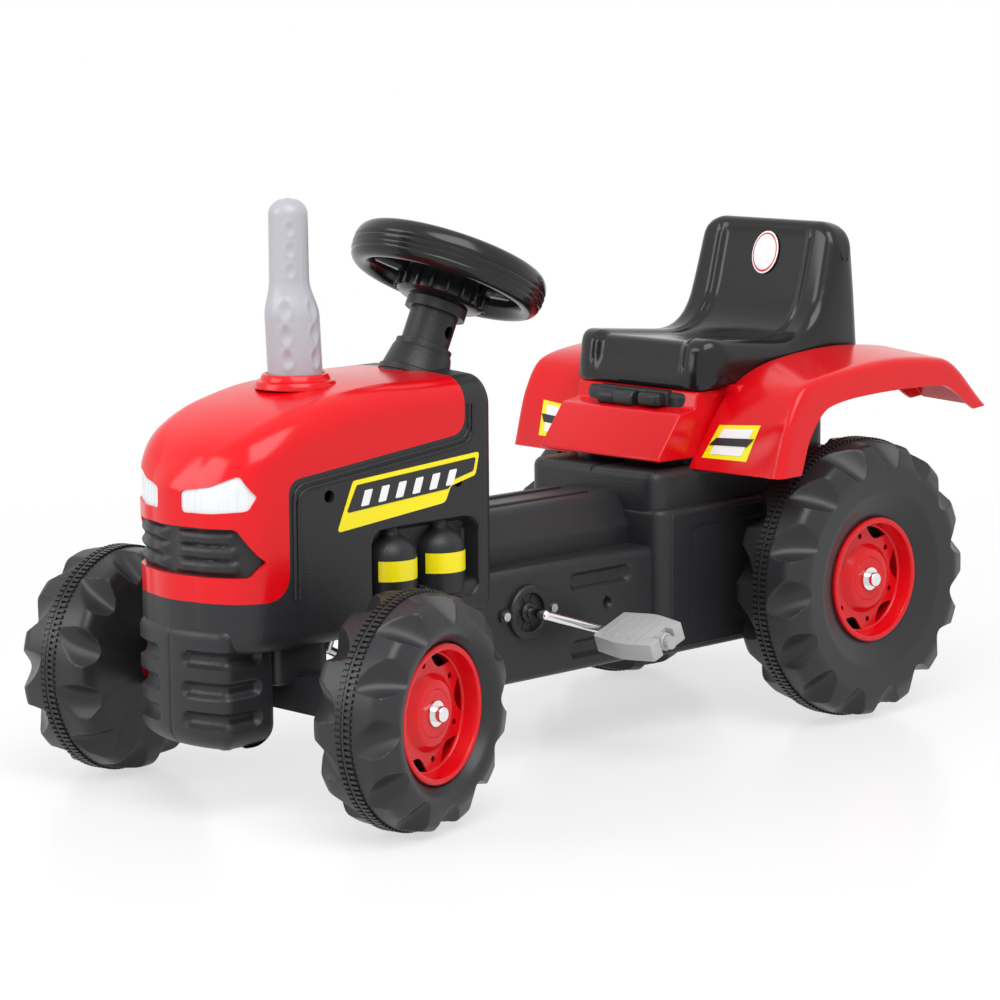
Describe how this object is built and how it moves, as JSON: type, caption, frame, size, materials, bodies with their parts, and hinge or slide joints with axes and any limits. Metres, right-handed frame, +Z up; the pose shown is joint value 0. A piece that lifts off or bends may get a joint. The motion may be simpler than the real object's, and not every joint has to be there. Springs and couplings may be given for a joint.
{
  "type": "ride-on pedal tractor",
  "caption": "Child's ride-on pedal tractor: moulded body with a bonnet, fender and seat, scalloped hollow wheels, a steering column working the front axle and a chain drive to the rear axle.",
  "frame": {"origin": "on the floor, midway along the overall length and on the tractor's middle plane", "axes": "+X forward, +Y to the tractor's left, +Z up"},
  "size_m": [0.9036, 0.4746, 0.5227],
  "materials": {
    "body_black": "fine moulded grain",
    "body_red": "glossy moulded",
    "tyre_black": "satin blow moulded",
    "gloss_black": "glossy moulded",
    "lamp_clear": "clear moulded",
    "stack_grey": "silver grey moulded",
    "pedal_grey": "light grey moulded",
    "bright_steel": "bright plated",
    "steel": "zinc plated"
  },
  "bodies": {
    "chassis": {"body_left_half": "body_black", "body_right_half": "body_black", "body_screws": "steel", "bonnet": "body_red", "bonnet_screws": "steel", "headlight_left": "lamp_clear", "headlight_right": "lamp_clear", "exhaust_stack": "stack_grey", "fender": "body_red", "fender_screws": "steel", "seat": "gloss_black", "seat_screws": "steel", "front_axle_beam": "body_black", "beam_screws": "steel", "column_collar": "body_black", "column_foot_bush": "body_black", "crank_bush_left": "body_black", "crank_bush_right": "body_black", "crank_bush_screws": "steel", "rear_bush_left": "body_black", "rear_bush_right": "body_black", "drive_chain": "steel"},
    "left_knuckle": {"knuckle_left": "body_black", "kingpin_left": "steel", "stub_axle_left": "steel", "front_axle_cap_left": "bright_steel"},
    "right_knuckle": {"knuckle_right": "body_black", "kingpin_right": "steel", "stub_axle_right": "steel", "front_axle_cap_right": "bright_steel"},
    "steering": {"steering_wheel": "gloss_black", "steering_wheel_cap": "gloss_black", "steering_sleeve": "body_black", "steering_shaft": "steel"},
    "track_rod": {"tie_rod": "body_black"},
    "left_front_wheel": {"front_tyre_left": "tyre_black", "front_rim_left": "body_red"},
    "right_front_wheel": {"front_tyre_right": "tyre_black", "front_rim_right": "body_red"},
    "rear_drive": {"rear_axle": "steel", "rear_sprocket": "steel", "drive_pin": "steel", "rear_tyre_left": "tyre_black", "rear_rim_left": "body_red", "rear_axle_cap_left": "bright_steel", "rear_axle_cap_right": "bright_steel", "rear_spacer_left": "body_black", "rear_spacer_right": "body_black"},
    "right_rear_wheel": {"rear_tyre_right": "tyre_black", "rear_rim_right": "body_red"},
    "crank": {"crank_axle": "bright_steel", "crank_sprocket": "steel", "pedal_cap_left": "pedal_grey", "pedal_cap_right": "pedal_grey"},
    "left_pedal": {"pedal_left": "pedal_grey"},
    "right_pedal": {"pedal_right": "pedal_grey"}
  },
  "joints": [
    {"name": "left_steer", "type": "hinge", "parent": "chassis", "child": "left_knuckle", "pos_m": [0.33571, 0.118, 0.1025], "axis": [0, 0, 1], "range_deg": [-35, 9]},
    {"name": "right_steer", "type": "hinge", "parent": "chassis", "child": "right_knuckle", "pos_m": [0.33571, -0.118, 0.1025], "axis": [0, 0, 1], "range_deg": [-35, 9]},
    {"name": "column_turn", "type": "hinge", "parent": "chassis", "child": "steering", "pos_m": [0.13822, 0, 0.377], "axis": [-0.4274, 0, 0.9041], "range_deg": [-35, 9]},
    {"name": "tie_rod_pivot", "type": "hinge", "parent": "left_knuckle", "child": "track_rod", "pos_m": [0.29187, 0.10788, 0.0906], "axis": [0, 0, 1], "range_deg": [-9, 35]},
    {"name": "left_front_roll", "type": "hinge", "parent": "left_knuckle", "child": "left_front_wheel", "pos_m": [0.32132, 0.18036, 0.1025], "axis": [-0.225, 0.9744, 0], "continuous": true},
    {"name": "right_front_roll", "type": "hinge", "parent": "right_knuckle", "child": "right_front_wheel", "pos_m": [0.35011, -0.18036, 0.1025], "axis": [-0.225, 0.9744, 0], "continuous": true},
    {"name": "rear_axle_turn", "type": "hinge", "parent": "chassis", "child": "rear_drive", "pos_m": [-0.28179, 0, 0.135], "axis": [0, 1, 0], "continuous": true},
    {"name": "right_rear_roll", "type": "hinge", "parent": "rear_drive", "child": "right_rear_wheel", "pos_m": [-0.28179, -0.1515, 0.135], "axis": [0, 1, 0], "continuous": true},
    {"name": "crank_turn", "type": "hinge", "parent": "chassis", "child": "crank", "pos_m": [0.08621, 0, 0.141], "axis": [0, 1, 0], "continuous": true},
    {"name": "left_pedal_spin", "type": "hinge", "parent": "crank", "child": "left_pedal", "pos_m": [0.01013, 0.147, 0.11628], "axis": [0, 1, 0], "continuous": true},
    {"name": "right_pedal_spin", "type": "hinge", "parent": "crank", "child": "right_pedal", "pos_m": [0.1623, -0.147, 0.16572], "axis": [0, 1, 0], "continuous": true}
  ],
  "couplings": [
    {"joint": "right_steer", "follows": "left_steer", "ratio": 1},
    {"joint": "column_turn", "follows": "left_steer", "ratio": 1},
    {"joint": "tie_rod_pivot", "follows": "left_steer", "ratio": -1},
    {"joint": "crank_turn", "follows": "rear_axle_turn", "ratio": 0.66667}
  ]
}
